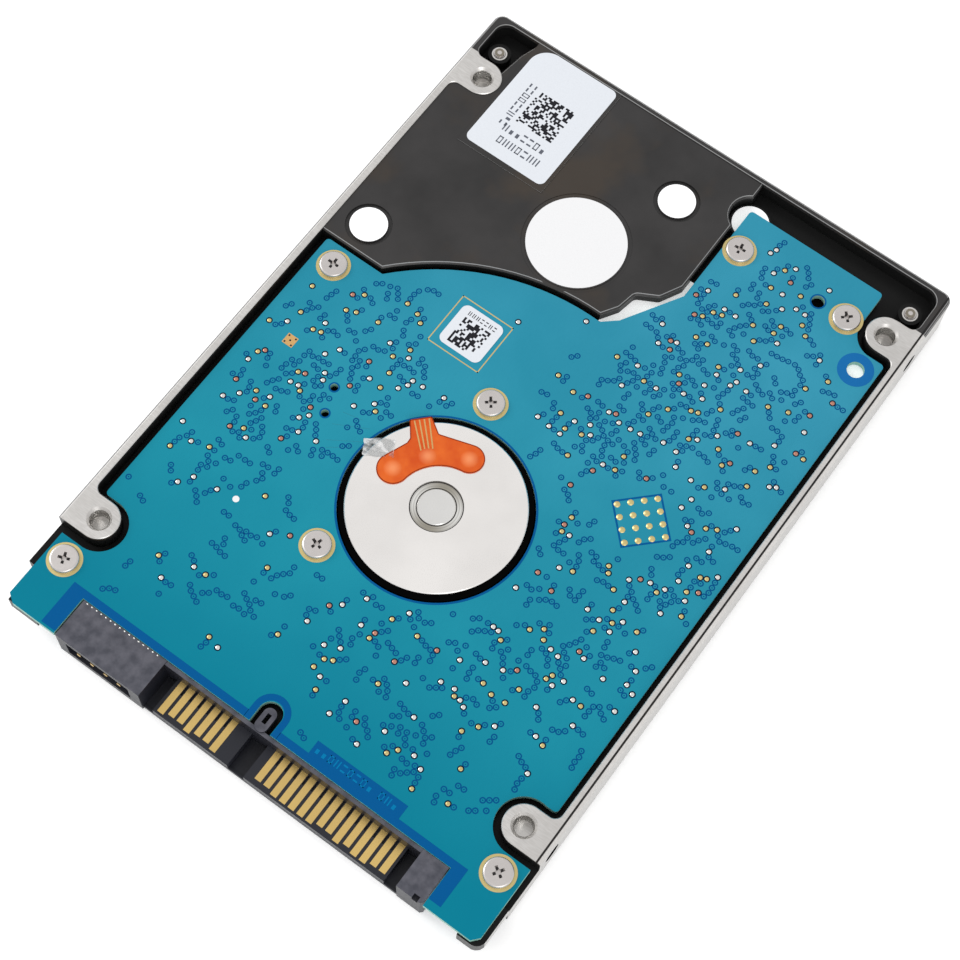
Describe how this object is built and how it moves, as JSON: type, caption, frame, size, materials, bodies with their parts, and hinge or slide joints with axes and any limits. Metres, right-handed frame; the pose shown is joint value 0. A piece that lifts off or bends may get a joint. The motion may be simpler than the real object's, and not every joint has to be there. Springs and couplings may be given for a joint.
{
  "type": "hard disk drive",
  "caption": "Slim hard disk drive lying on its cover, with a teal circuit board, motor disc window, mounting pads and an edge plug; spindle, head arms and latch move inside.",
  "frame": {"origin": "middle of the footprint, on the outer face of the cover", "axes": "+Z out of the mounting face on the circuit board side, +Y away from the plug, +X to the right seen from above with the plug towards the viewer"},
  "size_m": [0.0698, 0.1002, 0.007],
  "materials": {
    "cast_metal": "black coated cast aluminium with bright machined lands",
    "cover_sheet": "stamped satin aluminium sheet",
    "steel": "plated steel",
    "bright_metal": "turned and polished steel",
    "arm_metal": "machined aluminium and thin spring steel",
    "nickel": "nickel plated",
    "mirror_disk": "mirror polished",
    "magnet": "grey",
    "copper": "enamelled copper winding",
    "board": "teal solder mask",
    "chip_black": "black moulded packages",
    "plug_plastic": "dark grey moulded plastic",
    "gold": "gold plated",
    "white_foil": "white adhesive foil",
    "orange_flex": "orange polyimide film",
    "light_plastic": "natural moulded plastic",
    "soft_seal": "soft rubber and felt"
  },
  "bodies": {
    "chassis": {"base_casting": "cast_metal", "bearing_cap": "bright_metal", "bearing_sleeve": "bright_metal", "board_label": "white_foil", "board_passives": "chip_black", "board_screws": "steel", "breather_filter": "soft_seal", "circuit_board": "board", "connector_housing": "plug_plastic", "connector_seal": "white_foil", "controller_chip": "chip_black", "cover_gasket": "soft_seal", "cover_label": "white_foil", "cover_screws": "steel", "crash_stops": "steel", "desiccant": "soft_seal", "flash_chip": "chip_black", "flex_bracket": "light_plastic", "head_connector": "plug_plastic", "head_flex": "orange_flex", "insulator": "soft_seal", "jumper_pins": "gold", "latch_pin": "steel", "load_ramp": "light_plastic", "lower_yoke": "nickel", "memory_chip": "chip_black", "motor_bracket": "bright_metal", "motor_driver_chip": "chip_black", "motor_flex": "orange_flex", "motor_magnets": "nickel", "pivot_balls": "steel", "pivot_post": "bright_metal", "pivot_races": "steel", "pivot_screw": "steel", "pivot_seal": "white_foil", "port_seals": "white_foil", "power_contacts": "gold", "recirculation_filter": "soft_seal", "serial_label": "white_foil", "signal_contacts": "gold", "stator_coils": "copper", "stator_core": "magnet", "top_cover": "cover_sheet", "upper_yoke": "nickel"},
    "rotor": {"spindle_hub": "bright_metal", "spindle_shaft": "bright_metal", "rotor_magnet": "magnet", "platter": "mirror_disk", "disk_clamp": "bright_metal", "clamp_screws": "steel"},
    "actuator": {"actuator_arm": "arm_metal", "pivot_sleeve": "bright_metal", "voice_coil": "copper", "coil_frame": "light_plastic", "lower_suspension": "arm_metal", "upper_suspension": "arm_metal", "head_sliders": "light_plastic", "head_amplifier": "chip_black"},
    "latch": {"latch_lever": "light_plastic"}
  },
  "joints": [
    {"name": "spindle_spin", "type": "hinge", "parent": "chassis", "child": "rotor", "pos_m": [0, -0.011, 0.0021], "axis": [0, 0, 1], "continuous": true},
    {"name": "arm_swing", "type": "hinge", "parent": "chassis", "child": "actuator", "pos_m": [-0.0072, 0.0281, 0.0021], "axis": [0, 0, -1], "range_deg": [0, 34.5]},
    {"name": "latch_swing", "type": "hinge", "parent": "chassis", "child": "latch", "pos_m": [-0.0215, 0.0204, 0.00295], "axis": [0, 0, -1], "range_deg": [0, 12]}
  ]
}
